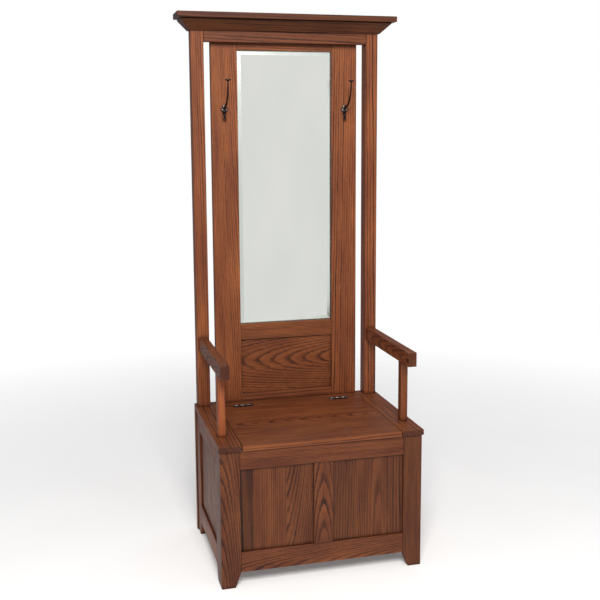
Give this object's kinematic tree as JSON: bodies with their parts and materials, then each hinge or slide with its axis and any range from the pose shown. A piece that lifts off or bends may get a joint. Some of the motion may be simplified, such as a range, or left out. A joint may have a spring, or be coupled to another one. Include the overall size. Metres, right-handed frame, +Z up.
{
  "type": "hall tree",
  "caption": "Oak hall tree with a storage bench under a hinged lid, two arms, a tall back with a bevelled mirror, coat hooks and a moulded crown.",
  "frame": {"origin": "on the floor, under the middle of the whole outline", "axes": "+Z up; +X along the width, to the right of a viewer who faces the front; the front faces -Y and the back panel side is +Y"},
  "size_m": [0.746, 0.492, 1.7815],
  "materials": {
    "stained_oak": "satin, red-brown stain over strong oak grain",
    "inner_oak": "thin stain, unpolished",
    "hardboard": "matt brown board",
    "mirror_glass": "polished, with ground bevelled edges",
    "dark_bronze": "dark oil-rubbed bronze",
    "screw_steel": "worn dark steel"
  },
  "bodies": {
    "frame": {"crown_cap": "stained_oak", "crown_moulding_front": "stained_oak", "crown_moulding_left": "stained_oak", "crown_moulding_right": "stained_oak", "crown_top_rail": "stained_oak", "mirror_top_rail": "stained_oak", "middle_rail": "stained_oak", "back_bottom_rail": "stained_oak", "lower_back_panel": "stained_oak", "rear_seat_strip": "stained_oak", "front_top_rail": "stained_oak", "front_bottom_rail": "stained_oak", "front_muntin": "stained_oak", "left_back_post": "stained_oak", "left_inner_stile": "stained_oak", "left_arm": "stained_oak", "left_arm_support": "stained_oak", "left_seat_strip": "stained_oak", "left_front_stile": "stained_oak", "left_front_panel": "stained_oak", "left_side_front_stile": "stained_oak", "left_side_rear_stile": "stained_oak", "left_side_top_rail": "stained_oak", "left_side_bottom_rail": "stained_oak", "left_side_panel": "stained_oak", "left_rear_stile": "stained_oak", "right_back_post": "stained_oak", "right_inner_stile": "stained_oak", "right_arm": "stained_oak", "right_arm_support": "stained_oak", "right_seat_strip": "stained_oak", "right_front_stile": "stained_oak", "right_front_panel": "stained_oak", "right_side_front_stile": "stained_oak", "right_side_rear_stile": "stained_oak", "right_side_top_rail": "stained_oak", "right_side_bottom_rail": "stained_oak", "right_side_panel": "stained_oak", "right_rear_stile": "stained_oak", "base_back_board": "inner_oak", "bottom_board": "inner_oak", "mirror_bead_top": "inner_oak", "mirror_bead_bottom": "inner_oak", "mirror_bead_left": "inner_oak", "mirror_bead_right": "inner_oak", "mirror_backing_board": "hardboard", "mirror_glass": "mirror_glass", "left_coat_hook": "dark_bronze", "left_hinge_fixed_leaf": "dark_bronze", "left_hinge_pin": "dark_bronze", "right_coat_hook": "dark_bronze", "right_hinge_fixed_leaf": "dark_bronze", "right_hinge_pin": "dark_bronze", "left_hook_screw_left": "screw_steel", "left_hook_screw_right": "screw_steel", "right_hook_screw_left": "screw_steel", "right_hook_screw_right": "screw_steel"},
    "lid": {"seat_lid": "stained_oak", "left_hinge_lid_leaf": "dark_bronze", "right_hinge_lid_leaf": "dark_bronze"}
  },
  "joints": [
    {"name": "lid_hinge", "type": "hinge", "parent": "frame", "child": "lid", "pos_m": [0, 0.162, 0.4613], "axis": [-1, 0, 0], "range_deg": [0, 99]}
  ]
}
